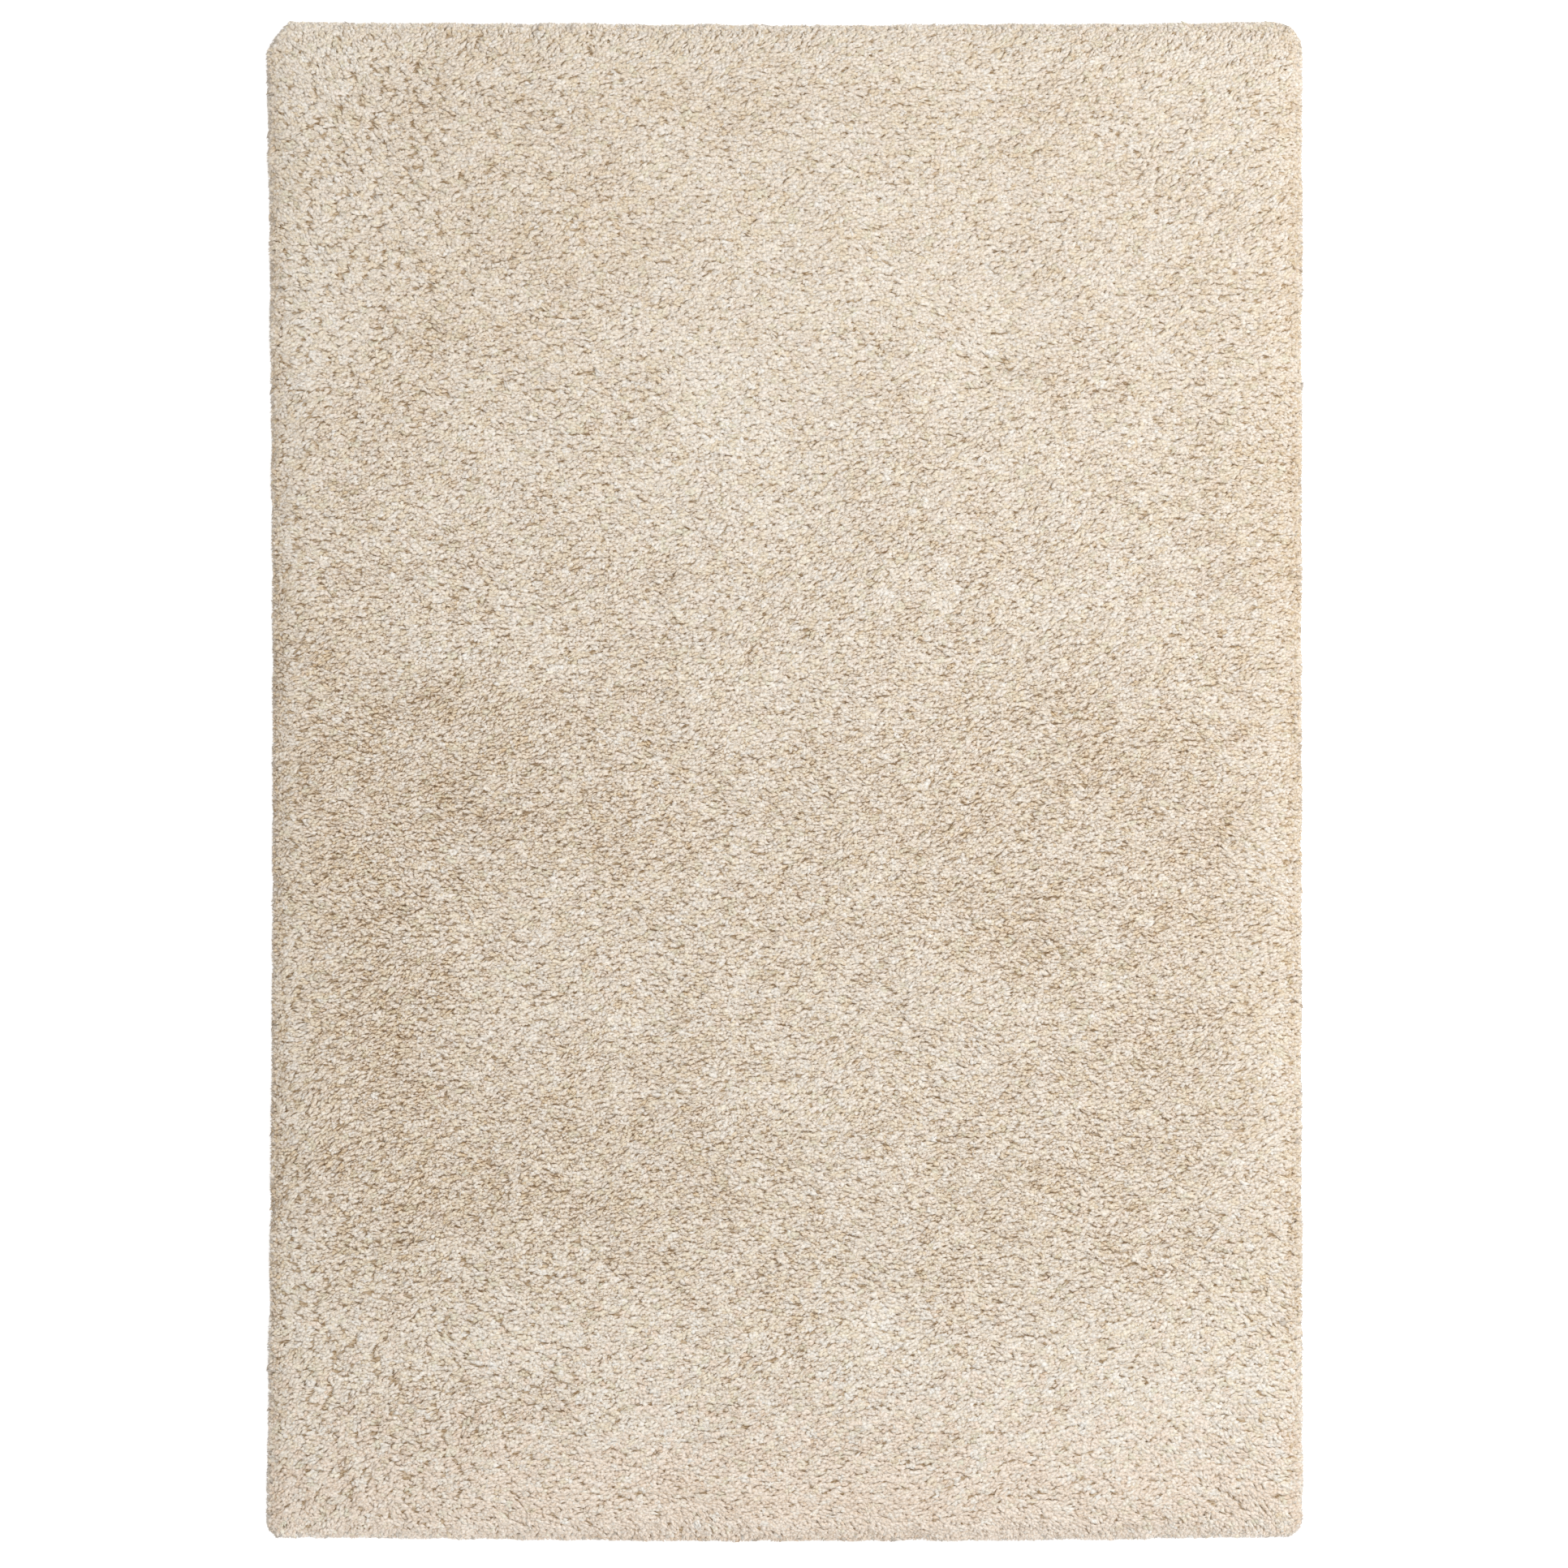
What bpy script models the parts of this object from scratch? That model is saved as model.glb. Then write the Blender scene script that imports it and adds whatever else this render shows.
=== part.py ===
"""Shag rug lying flat on a floor: one woven piece, modelled as a lumpy slab of deep pile
with the locks of yarn that lean out round its rim.

Metres, +Z up, X across the rug and Y along it. The origin is at the middle of the underside.
"""

import math
import random

import bmesh
import bpy
from mathutils import Vector, noise

# Driving sizes
RUG_WIDTH = 1.330  # across X, from lock tip to lock tip
RUG_LENGTH = 1.950  # along Y, from lock tip to lock tip
PILE_HEIGHT = 0.030  # floor to the top of the standing pile
RIM_HEIGHT = 0.023  # floor to the top of the slab's side, where the outer tufts bend over
RIM_FALL = 0.045  # width of the strip in which the pile sinks to the rim's height
LOCK_REACH = 0.020  # the longest rim lock, out from the slab's side

# The slab's grid. Its outermost cells are BORDER_CELL wide, and the others are equal
CELLS_ACROSS = 30
CELLS_ALONG = 44
BORDER_CELL = 0.038

# Each corner of the outline by its side of X and Y: how far its rounding reaches along the
# two sides, and how round it is, where 2 is an arc and 1 a straight cut
CORNERS = {
    (-1, 1): {"reach_x": 0.030, "reach_y": 0.040, "roundness": 1.3},
    (1, 1): {"reach_x": 0.038, "reach_y": 0.044, "roundness": 2.0},
    (-1, -1): {"reach_x": 0.016, "reach_y": 0.020, "roundness": 1.5},
    (1, -1): {"reach_x": 0.025, "reach_y": 0.028, "roundness": 2.0},
}
REACH_LOST_INWARD = 0.4  # a corner's reach shrinks by this share of how far in it is drawn

# How far the middle of each side lies inside a straight line between its corners
DRAWN_IN = {"left": 0.0085, "right": 0.0020, "far": 0.0040, "near": -0.0045}

# Lumps of the pile: how far apart they are and how high they stand
LUMPS = (
    {"apart": 0.170, "height": 0.0060},
    {"apart": 0.088, "height": 0.0065},
)
CLUMP_HEIGHT = 0.0014  # most that a single clump of tufts stands up or down

# Faint troughs that folding the rug away has left: the axis that each one crosses, its
# place on that axis and its depth
FOLD_TROUGHS = (
    {"axis": 0, "at": -0.200, "depth": 0.0022},
    {"axis": 0, "at": 0.014, "depth": 0.0015},
    {"axis": 0, "at": 0.274, "depth": 0.0020},
    {"axis": 1, "at": 0.861, "depth": 0.0018},
    {"axis": 1, "at": -0.040, "depth": 0.0020},
    {"axis": 1, "at": -0.637, "depth": 0.0024},
)
TROUGH_WIDTH = 0.040
LUMPS_AT_RIM = 0.35  # share of the lumps and troughs that is left at the rim

# A rim lock has two stretches. Each row is the far end of one: how far along the lock it
# is, its width and height as shares of the root's, its top's width as a share of its foot's
# and how much of the tip's sideways lean it has
LOCK_STRETCHES = (
    {"out": 0.52, "width": 0.90, "height": 0.77, "crown": 0.84, "lean": 0.30},
    {"out": 1.00, "width": 0.68, "height": 0.24, "crown": 0.70, "lean": 1.00},
)
LOCK_VARIES = 0.32  # share of its reach by which a lock may fall short of the outline
LOCK_LEAN = 0.14  # most that a lock's tip leans along the rim, as a share of its root
ROOT_SHIFT = 0.0040  # most that the root between two locks is off its even place
RUG_SEED = 7

PILE_COLOUR = (0.69, 0.60, 0.48, 1.0)


def clear_scene():
    for item in list(bpy.data.objects):
        bpy.data.objects.remove(item, do_unlink=True)


def pile_material():
    material = bpy.data.materials.new("cream pile yarn")
    material.use_nodes = True
    shader = material.node_tree.nodes["Principled BSDF"]
    shader.inputs["Base Color"].default_value = PILE_COLOUR
    shader.inputs["Roughness"].default_value = 0.95
    shader.inputs["Metallic"].default_value = 0.0
    return material


def spread(share, size, cells, inset):
    """Place on one axis of the point at this share of the half size, from -1 to 1. The grid
    inside the border cells stays put, and the border runs out to inset from the full size."""
    inner = size / 2 - LOCK_REACH - BORDER_CELL
    outer = size / 2 - inset
    inner_share = 1.0 - 2.0 / cells
    distance = abs(share)
    if distance > inner_share:
        place = inner + (outer - inner) * (distance - inner_share) / (1.0 - inner_share)
    else:
        place = inner * distance / inner_share
    return math.copysign(place, share)


def round_corner(x, y, inset):
    """Draws a point in the outline's square corner to the corner's rounded form."""
    side_x = 1 if x > 0 else -1
    side_y = 1 if y > 0 else -1
    corner = CORNERS[side_x, side_y]
    reach_x = corner["reach_x"] - REACH_LOST_INWARD * inset
    reach_y = corner["reach_y"] - REACH_LOST_INWARD * inset
    start_x = RUG_WIDTH / 2 - inset - reach_x
    start_y = RUG_LENGTH / 2 - inset - reach_y
    a = (abs(x) - start_x) / reach_x
    b = (abs(y) - start_y) / reach_y
    if a <= 0.0 or b <= 0.0:
        return x, y
    power = corner["roundness"]
    shrink = max(a, b) / (a**power + b**power) ** (1.0 / power)
    return side_x * (start_x + a * shrink * reach_x), side_y * (start_y + b * shrink * reach_y)


def outline_place(across, along, inset):
    """Place on the floor of the point at these shares of the half width and half length,
    when the outline is drawn in by inset."""
    x = spread(across, RUG_WIDTH, CELLS_ACROSS, inset)
    y = spread(along, RUG_LENGTH, CELLS_ALONG, inset)
    x, y = round_corner(x, y, inset)
    side = "right" if across > 0 else "left"
    end = "far" if along > 0 else "near"
    x -= across * DRAWN_IN[side] * (1.0 - along * along)
    y -= along * DRAWN_IN[end] * (1.0 - across * across)
    return Vector((x, y, 0.0))


def lumpy_height(place, from_side):
    """Height of the pile over the floor, at this distance inside the slab's side."""
    rise = min(from_side / RIM_FALL, 1.0)
    round_over = math.sqrt(1.0 - (1.0 - rise) ** 2)
    height = RIM_HEIGHT + (PILE_HEIGHT - RIM_HEIGHT) * round_over
    relief = 0.0
    for layer, lump in enumerate(LUMPS):
        spot = Vector((place.x, place.y, layer)) / lump["apart"]
        relief += lump["height"] * noise.noise(spot)
    for trough in FOLD_TROUGHS:
        off = (place[trough["axis"]] - trough["at"]) / TROUGH_WIDTH
        relief -= trough["depth"] * math.exp(-off * off)
    return height + relief * (LUMPS_AT_RIM + (1.0 - LUMPS_AT_RIM) * rise)


def make_top(mesh, chance):
    """The pile's upper surface: a grid in the rug's outline, raised to its lumps. The edges
    round it are cut in two, for two locks to a cell. Returns each rim vertex's shares of
    the half width and half length."""
    bmesh.ops.create_grid(
        mesh, x_segments=CELLS_ACROSS, y_segments=CELLS_ALONG, size=1.0
    )
    border = [edge for edge in mesh.edges if edge.is_boundary]
    bmesh.ops.subdivide_edges(mesh, edges=border, cuts=1)
    rim_shares = {}
    for vertex in mesh.verts:
        across, along = vertex.co.x, vertex.co.y
        if vertex.is_boundary:
            shift = ROOT_SHIFT * chance.uniform(-1.0, 1.0)
            if abs(across) < 1.0:
                across += shift / (RUG_WIDTH / 2)
            elif abs(along) < 1.0:
                along += shift / (RUG_LENGTH / 2)
            rim_shares[vertex] = (across, along)
        from_side_x = (1.0 - abs(across)) * RUG_WIDTH / 2
        from_side_y = (1.0 - abs(along)) * RUG_LENGTH / 2
        place = outline_place(across, along, LOCK_REACH)
        clump = CLUMP_HEIGHT * chance.uniform(-1.0, 1.0)
        vertex.co = place
        vertex.co.z = lumpy_height(place, min(from_side_x, from_side_y)) + clump
    return rim_shares


def drop_sides(mesh, rim_shares):
    """Pulls the rim down to the floor and closes the underside. Returns the side faces,
    each with the shares of its middle."""
    border = [edge for edge in mesh.edges if edge.is_boundary]
    pulled = bmesh.ops.extrude_edge_only(mesh, edges=border)["geom"]
    for item in pulled:
        if isinstance(item, bmesh.types.BMVert):
            item.co.z = 0.0
    sides = []
    for item in pulled:
        if isinstance(item, bmesh.types.BMFace):
            ends = [rim_shares[vertex] for vertex in item.verts if vertex in rim_shares]
            middle = [(first + second) / 2 for first, second in zip(*ends)]
            sides.append((item, middle))
    foot = [edge for edge in mesh.edges if edge.is_boundary]
    bmesh.ops.contextual_create(mesh, geom=foot)
    bmesh.ops.recalc_face_normals(mesh, faces=mesh.faces)
    return sides


def grow_lock(mesh, side, shares, chance):
    """Grows one tapering four-sided lock out of a side face. It lies on the floor, and its
    back slopes down to its tip."""
    root = side.calc_center_median()
    height = max(vertex.co.z for vertex in side.verts)
    root.z = 0.0
    foot = [vertex.co.copy() for vertex in side.verts if vertex.co.z < height / 4]
    width = (foot[1] - foot[0]).length
    beside = (foot[1] - foot[0]).normalized()
    tip = outline_place(*shares, LOCK_REACH * LOCK_VARIES * chance.random())
    lean = beside * (LOCK_LEAN * width * chance.uniform(-1.0, 1.0))
    end = side
    for stretch in LOCK_STRETCHES:
        end = bmesh.ops.extrude_discrete_faces(mesh, faces=[end])["faces"][0]
        middle = root.lerp(tip, stretch["out"]) + lean * stretch["lean"]
        for vertex in end.verts:
            on_top = vertex.co.z > RIM_HEIGHT / 10
            offset = math.copysign(width / 2, (vertex.co - root).dot(beside))
            offset *= stretch["width"] * (stretch["crown"] if on_top else 1.0)
            vertex.co = middle + beside * offset
            vertex.co.z = height * stretch["height"] if on_top else 0.0


def trim_to_size(mesh):
    """Brings the lock tips to the rug's exact width and length, centred over the origin."""
    for axis, size in enumerate((RUG_WIDTH, RUG_LENGTH)):
        low = min(vertex.co[axis] for vertex in mesh.verts)
        high = max(vertex.co[axis] for vertex in mesh.verts)
        for vertex in mesh.verts:
            vertex.co[axis] = (vertex.co[axis] - (low + high) / 2) * size / (high - low)


def make_rug():
    chance = random.Random(RUG_SEED)
    mesh = bmesh.new()
    rim_shares = make_top(mesh, chance)
    for side, shares in drop_sides(mesh, rim_shares):
        grow_lock(mesh, side, shares, chance)
    trim_to_size(mesh)
    data = bpy.data.meshes.new("shag_rug")
    mesh.to_mesh(data)
    mesh.free()
    data.shade_smooth()
    data.set_sharp_from_angle(angle=math.radians(50))
    data.materials.append(pile_material())
    return bpy.data.objects.new("shag_rug", data)


def main():
    clear_scene()
    collection = bpy.data.collections.new("shag rug")
    bpy.context.scene.collection.children.link(collection)
    collection.objects.link(make_rug())


main()
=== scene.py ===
# %% [markdown]
# # A cream shag rug, lying flat
#
# The real rug is one woven cloth with a deep pile. Thousands of soft yarns are tufted through a
# ground cloth. They stand up about 30 mm, bend over and lie on each other like shingles, so that
# from above only their last few millimetres show, as pale dabs with thin brown partings between
# them. Round the rim the yarns droop over the edge of the cloth down to the floor.
#
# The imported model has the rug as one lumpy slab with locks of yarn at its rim. This script loads
# it, reads its heights and its outline, and makes three things on it: the ground cloth, the dense
# bed of yarn just under the surface, and the strands themselves.

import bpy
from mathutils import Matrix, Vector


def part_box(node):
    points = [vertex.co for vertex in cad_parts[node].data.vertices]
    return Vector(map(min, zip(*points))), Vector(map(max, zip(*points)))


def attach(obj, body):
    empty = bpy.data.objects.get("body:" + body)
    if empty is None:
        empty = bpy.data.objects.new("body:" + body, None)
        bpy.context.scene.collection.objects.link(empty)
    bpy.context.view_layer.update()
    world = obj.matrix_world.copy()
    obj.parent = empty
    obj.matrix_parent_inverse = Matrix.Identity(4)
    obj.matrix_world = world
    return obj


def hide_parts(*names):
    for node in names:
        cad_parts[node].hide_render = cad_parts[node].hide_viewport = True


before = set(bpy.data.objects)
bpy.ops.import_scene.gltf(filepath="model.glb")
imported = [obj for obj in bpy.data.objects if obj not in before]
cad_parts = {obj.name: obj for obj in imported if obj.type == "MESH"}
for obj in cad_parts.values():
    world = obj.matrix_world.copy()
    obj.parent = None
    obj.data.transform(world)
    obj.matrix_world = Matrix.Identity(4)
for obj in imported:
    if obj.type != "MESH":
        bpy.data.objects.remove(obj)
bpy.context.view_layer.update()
cad_low, cad_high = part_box("shag_rug")
print("packed model, in metres:", [round(high - low, 4) for low, high in zip(cad_low, cad_high)])

# %% [markdown]
# ## The rug's outline
#
# A hand-cut rug is never a true rectangle. Its sides bow in or out by some millimetres and each
# corner is rounded in its own way. The strands, the cloth and the body under them all have to
# keep to the same outline, at different distances inside it, so it is written once as a function:
# it takes a place in a plain square, from -1 to 1 each way, and gives the place on the rug.

# %% Outline
import math

import bmesh
import bpy
import numpy as np
from mathutils import Vector, noise
from mathutils.bvhtree import BVHTree

# Each corner by its side of X and Y: how far its rounding reaches along the two sides, and how
# round it is, where 2 is an arc and 1 a straight cut
CORNERS = {
    (-1, 1): {"reach": (0.031, 0.0435), "roundness": 1.15},
    (1, 1): {"reach": (0.038, 0.044), "roundness": 2.0},
    (-1, -1): {"reach": (0.016, 0.020), "roundness": 1.5},
    (1, -1): {"reach": (0.025, 0.028), "roundness": 2.0},
}
REACH_LOST_INWARD = 0.4  # a corner's reach shrinks by this share of the distance inside
# How far each side lies inside the rug's box, at its ends and in its middle
DRAWN_IN = {
    "left": (0.0, 0.0085),
    "right": (-0.0006, 0.0008),
    "far": (0.0010, 0.0050),
    "near": (0.0060, 0.0010),
}

half_size = np.array([cad_high.x, cad_high.y])


def bow(side, share):
    """How far a side is drawn in, at a share of the way from its middle to its ends."""
    at_ends, in_middle = DRAWN_IN[side]
    return at_ends * share**2 + in_middle * (1 - share**2)


def outline_place(square, inset):
    """Places on the rug for an array of places in the square, with the outline drawn in by
    inset."""
    half = half_size - inset
    place = square * half
    for sides, corner in CORNERS.items():
        reach = np.array(corner["reach"]) - REACH_LOST_INWARD * inset
        beyond = (place * sides - (half - reach)) / reach
        within = (beyond > 0).all(1)
        beyond = beyond[within]
        power = corner["roundness"]
        shrink = beyond.max(1) / (beyond**power).sum(1) ** (1 / power)
        place[within] = (half - reach + beyond * shrink[:, None] * reach) * sides
    across, along = square.T
    place[:, 0] -= across * np.where(across > 0, bow("right", along), bow("left", along))
    place[:, 1] -= along * np.where(along > 0, bow("far", across), bow("near", across))
    return place


print("far left corner:", outline_place(np.array([[-1.0, 1.0]]), 0.0).round(3).tolist())

# %% [markdown]
# The same function shapes a sheet of any inset: a grid is made in the square and its corners are
# moved. Each corner of the grid keeps its place in the square, so that more rings can be added
# round it later.

# %% A sheet in the outline
def outline_sheet(inset, cell):
    """A flat sheet in the rug's outline, drawn in by inset, with cells about this large. It comes
    with the layer that holds each corner's place in the square."""
    mesh = bmesh.new()
    cells = [round(2 * (half - inset) / cell) for half in half_size]
    bmesh.ops.create_grid(mesh, x_segments=cells[0], y_segments=cells[1], size=1.0)
    layer = mesh.verts.layers.float_vector.new("square")
    for vertex in mesh.verts:
        vertex[layer] = vertex.co
    put_in_outline(mesh.verts, layer, inset)
    return mesh, layer


def put_in_outline(corners, layer, inset):
    """Moves these corners of a sheet to their places on the rug, drawn in by inset."""
    square = np.array([vertex[layer][:2] for vertex in corners])
    for vertex, (x, y) in zip(corners, outline_place(square, inset)):
        vertex.co.x, vertex.co.y = x, y


def pull_edge(mesh):
    """Extrudes the edge round an open sheet and returns the new corners."""
    border = [edge for edge in mesh.edges if edge.is_boundary]
    pulled = bmesh.ops.extrude_edge_only(mesh, edges=border)["geom"]
    return [item for item in pulled if isinstance(item, bmesh.types.BMVert)]


# %% [markdown]
# A fence along the outline answers a question that comes up for every yarn: how far is it from
# the edge, and which way is out? Only the border of a sheet is kept and extruded upwards, and a
# search tree over the fence finds the nearest spot on it.

# %% Measure distances from the outline
FENCE_CELL = 0.010
FENCE_HALF_HEIGHT = 0.020

fence, _ = outline_sheet(0.0, FENCE_CELL)
bmesh.ops.delete(fence, geom=list(fence.faces), context="FACES_KEEP_BOUNDARY")
for vertex in fence.verts:
    vertex.co.z = -FENCE_HALF_HEIGHT
fence_edges = bmesh.ops.extrude_edge_only(fence, edges=list(fence.edges))["geom"]
for item in fence_edges:
    if isinstance(item, bmesh.types.BMVert):
        item.co.z = FENCE_HALF_HEIGHT
fence.normal_update()
fence_tree = BVHTree.FromBMesh(fence)
fence.free()


def from_outline(places):
    """How far inside the outline each place is, and the way out there as an arrow."""
    inside = np.empty(len(places))
    outward = np.empty((len(places), 2))
    for index, place in enumerate(places):
        spot = Vector((*place, 0.0))
        nearest, normal, _, distance = fence_tree.find_nearest(spot)
        if normal.dot(nearest) < 0:
            normal = -normal
        inside[index] = math.copysign(distance, (nearest - spot).dot(normal))
        outward[index] = normal.xy
    return inside, outward


print("middle of the rug to its outline:", round(from_outline([(0.0, 0.0)])[0][0], 3), "m")

# %% [markdown]
# ## Reading the pile's height
#
# The strands also have to follow the slab's lumps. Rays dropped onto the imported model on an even
# grid read its height. The model's triangles are loose, which doesn't matter to a ray. Rays that
# fall between two rim locks miss, so those places take the mean of their neighbours, a few times
# over. One light blur takes the facets out. Between the grid's points the height is interpolated.

# %% Measure the pile's height
HEIGHT_STEP = 0.008
MARGIN = 0.04  # the grid reaches this far past the rug
RAY_START = 1.0  # well over the pile

slab = bmesh.new()
slab.from_mesh(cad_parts["shag_rug"].data)
slab_tree = BVHTree.FromBMesh(slab)
slab.free()

columns = np.arange(cad_low.x - MARGIN, cad_high.x + MARGIN, HEIGHT_STEP)
rows = np.arange(cad_low.y - MARGIN, cad_high.y + MARGIN, HEIGHT_STEP)
heights = np.full((len(rows), len(columns)), np.nan)
for row, y in enumerate(rows):
    for column, x in enumerate(columns):
        hit = slab_tree.ray_cast(Vector((x, y, RAY_START)), Vector((0.0, 0.0, -1.0)))[0]
        if hit is not None:
            heights[row, column] = hit.z
print("rays that hit the slab:", np.isfinite(heights).sum(), "of", heights.size)

# %% Fill and smooth the heights
FILL_ROUNDS = 6


def neighbours(grid):
    """The grid and its shifts by one step each way, as a stack."""
    wide = np.pad(grid, 1, mode="edge")
    high, broad = grid.shape
    shifts = [(0, 1), (2, 1), (1, 0), (1, 2), (1, 1)]
    return np.stack([wide[down:down + high, right:right + broad] for down, right in shifts])


for _ in range(FILL_ROUNDS):
    around = neighbours(heights)
    count = np.isfinite(around).sum(0)
    mean = np.nansum(around, 0) / np.maximum(count, 1)
    heights = np.where(np.isnan(heights) & (count > 0), mean, heights)
heights = np.nan_to_num(heights)
heights = neighbours(heights).mean(0)


def pile_top(places):
    """Height of the pile's top at an array of places."""
    spots = (places - (columns[0], rows[0])) / HEIGHT_STEP
    last_cell = (len(columns) - 2, len(rows) - 2)
    cells = np.clip(spots.astype(int), 0, last_cell)
    left, below = cells.T
    right_share, up_share = (spots - cells).T
    low = heights[below, left] * (1 - right_share) + heights[below, left + 1] * right_share
    high = heights[below + 1, left] * (1 - right_share) + heights[below + 1, left + 1] * right_share
    return low * (1 - up_share) + high * up_share


print("highest lump:", round(heights.max(), 4), "m")

# %% [markdown]
# ## The yarn's colour
#
# The pile is one undyed-looking cream, but no two yarns are quite alike: most are cream or sand,
# and a few lean to chalk, straw, honey, olive or rose. Each is palest at its tip and painted
# browner towards its root, for the shade where it goes down between its neighbours.
#
# A noise texture over the rug could mottle it, but then one strand would carry several colours.
# Here the UV map is used as a colour chart instead. Across the chart stand the tints, up the chart
# runs the tone from brown to pale, and each strand is given a spot on it. Strands that share a spot
# share its tint and tone, so a bake through this map should keep these two. The fibres and the
# painted shade along the strands' edges further down differ between the strands on one spot. There
# such a bake may lose them, or show one strand's on all.

# %% Helpers for materials
CHART = "OFBake"  # the name of the chart's UV map
FABRIC_GLOSS = 0.12


def new_material(name, roughness):
    """A matt material, with its node tree and its shader."""
    material = bpy.data.materials.new(name)
    material.use_nodes = True
    shader = material.node_tree.nodes["Principled BSDF"]
    shader.inputs["Roughness"].default_value = roughness
    shader.inputs["Metallic"].default_value = 0.0
    shader.inputs["Specular IOR Level"].default_value = FABRIC_GLOSS
    return material, material.node_tree, shader


def plug_in(tree, socket, value):
    """Links a socket to another one, or sets it to a value."""
    if isinstance(value, bpy.types.NodeSocket):
        tree.links.new(value, socket)
    else:
        socket.default_value = value


def add_node(tree, kind, settings=None, **inputs):
    """A new node. Settings are its own properties, and inputs are values or sockets."""
    node = tree.nodes.new(kind)
    for key, value in (settings or {}).items():
        setattr(node, key, value)
    for key, value in inputs.items():
        plug_in(tree, node.inputs[key.replace("_", " ")], value)
    return node


def add_math(tree, operation, *values):
    """The result of a sum on values or sockets."""
    node = add_node(tree, "ShaderNodeMath", {"operation": operation})
    for socket, value in zip(node.inputs, values):
        plug_in(tree, socket, value)
    return node.outputs["Value"]


def add_ramp(tree, factor, stops):
    """A colour ramp over {place: colour}."""
    node = tree.nodes.new("ShaderNodeValToRGB")
    elements = node.color_ramp.elements
    while len(elements) < len(stops):
        elements.new(0.5)
    for element, (place, colour) in zip(elements, sorted(stops.items())):
        element.position = place
        element.color = (*colour, 1.0)
    tree.links.new(factor, node.inputs["Fac"])
    return node.outputs["Color"]


def multiply(tree, first, second):
    """Two colours multiplied."""
    node = tree.nodes.new("ShaderNodeMix")
    node.data_type = "RGBA"
    node.blend_type = "MULTIPLY"
    node.inputs["Factor"].default_value = 1.0
    tree.links.new(first, node.inputs["A"])
    tree.links.new(second, node.inputs["B"])
    return node.outputs["Result"]


def add_relief(tree, shader, height, depth, strength):
    """Raises the surface where height is larger, by up to depth in metres."""
    bump = add_node(tree, "ShaderNodeBump", Height=height, Distance=depth, Strength=strength)
    tree.links.new(bump.outputs["Normal"], shader.inputs["Normal"])


# %% [markdown]
# The shares say how many of the yarns have each tint. The grey rim tint, which is painted shade,
# and the blush tint have none, because they aren't scattered over the whole rug: the grey one is
# handed out later at the very rim, and blush ones near the edge at the foot of the picture.

# %% The yarn's tints and tones
YARN_TINTS = {
    "rose": {"share": 0.06, "colour": (0.99, 0.96, 0.94)},
    "cream": {"share": 0.30, "colour": (1.00, 0.985, 0.96)},
    "chalk": {"share": 0.15, "colour": (0.985, 0.99, 0.99)},
    "sand": {"share": 0.27, "colour": (0.99, 0.965, 0.92)},
    "straw": {"share": 0.12, "colour": (0.985, 0.957, 0.873)},
    "honey": {"share": 0.06, "colour": (0.97, 0.92, 0.82)},
    "olive": {"share": 0.04, "colour": (0.92, 0.915, 0.82)},
    # painted shade: a grey for the locks at the rim, which lies in shade
    "shaded_rim": {"share": 0.00, "colour": (0.69, 0.67, 0.65)},
    "blush": {"share": 0.00, "colour": (0.995, 0.930, 0.875)},
}
# the brown end of these tones also serves as painted shade, at the roots and in the browner patches
YARN_TONES = {
    0.00: (0.333, 0.208, 0.10),
    0.35: (0.539, 0.376, 0.22),
    0.62: (0.715, 0.584, 0.43),
    0.80: (0.823, 0.750, 0.665),
    1.00: (0.911, 0.881, 0.83),
}

tint_names = list(YARN_TINTS)
tint_shares = np.array([YARN_TINTS[name]["share"] for name in tint_names])
tint_places = (np.arange(len(tint_names)) + 0.5) / len(tint_names)
tint_stops = {
    float(place): YARN_TINTS[name]["colour"] for place, name in zip(tint_places, tint_names)
}

yarn, tree, shader = new_material("pile yarn", roughness=0.92)
chart = add_node(tree, "ShaderNodeUVMap", {"uv_map": CHART}).outputs["UV"]
spot = add_node(tree, "ShaderNodeSeparateXYZ", Vector=chart)
tint = add_ramp(tree, spot.outputs["X"], tint_stops)
tone = add_ramp(tree, spot.outputs["Y"], YARN_TONES)
print("yarn tints:", ", ".join(tint_names))

# %% [markdown]
# Close up, a strand is a loose twist of fibres, with shade between them. A second UV map tells how
# far across its strand each spot is, from -1 to 1, and how far along it. Noise on that map draws
# the fibres as colour and as relief, a few of them side by side and each half a strand long. Their
# darker colour is partly the yarn's own and partly painted shade between the fibres.

# %% The yarn's fibres
STRAND = "strand"  # the name of the UV map across and along each strand
FIBRES_ACROSS = 2.6  # in half a strand's width
FIBRES_ALONG = 2.0
FIBRE_DETAIL = 2.0
# partly the yarn's own colour and partly painted shade between fibres
FIBRE_SHADES = {0.33: (0.80, 0.73, 0.63), 0.47: (1.0, 1.0, 1.0)}
FIBRE_RELIEF = 0.0006
FIBRE_RELIEF_STRENGTH = 0.4

strand_map = add_node(tree, "ShaderNodeUVMap", {"uv_map": STRAND}).outputs["UV"]
fibre_scale = (FIBRES_ACROSS, FIBRES_ALONG, 1.0)
stretched = add_node(tree, "ShaderNodeMapping", Vector=strand_map, Scale=fibre_scale)
fibres = add_node(
    tree, "ShaderNodeTexNoise", Vector=stretched.outputs["Vector"], Scale=1.0, Detail=FIBRE_DETAIL
)
fibre_shade = add_ramp(tree, fibres.outputs["Fac"], FIBRE_SHADES)
add_relief(tree, shader, fibres.outputs["Fac"], FIBRE_RELIEF, FIBRE_RELIEF_STRENGTH)
print("fibre noise scale across and along a strand:", fibre_scale[:2])
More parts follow.
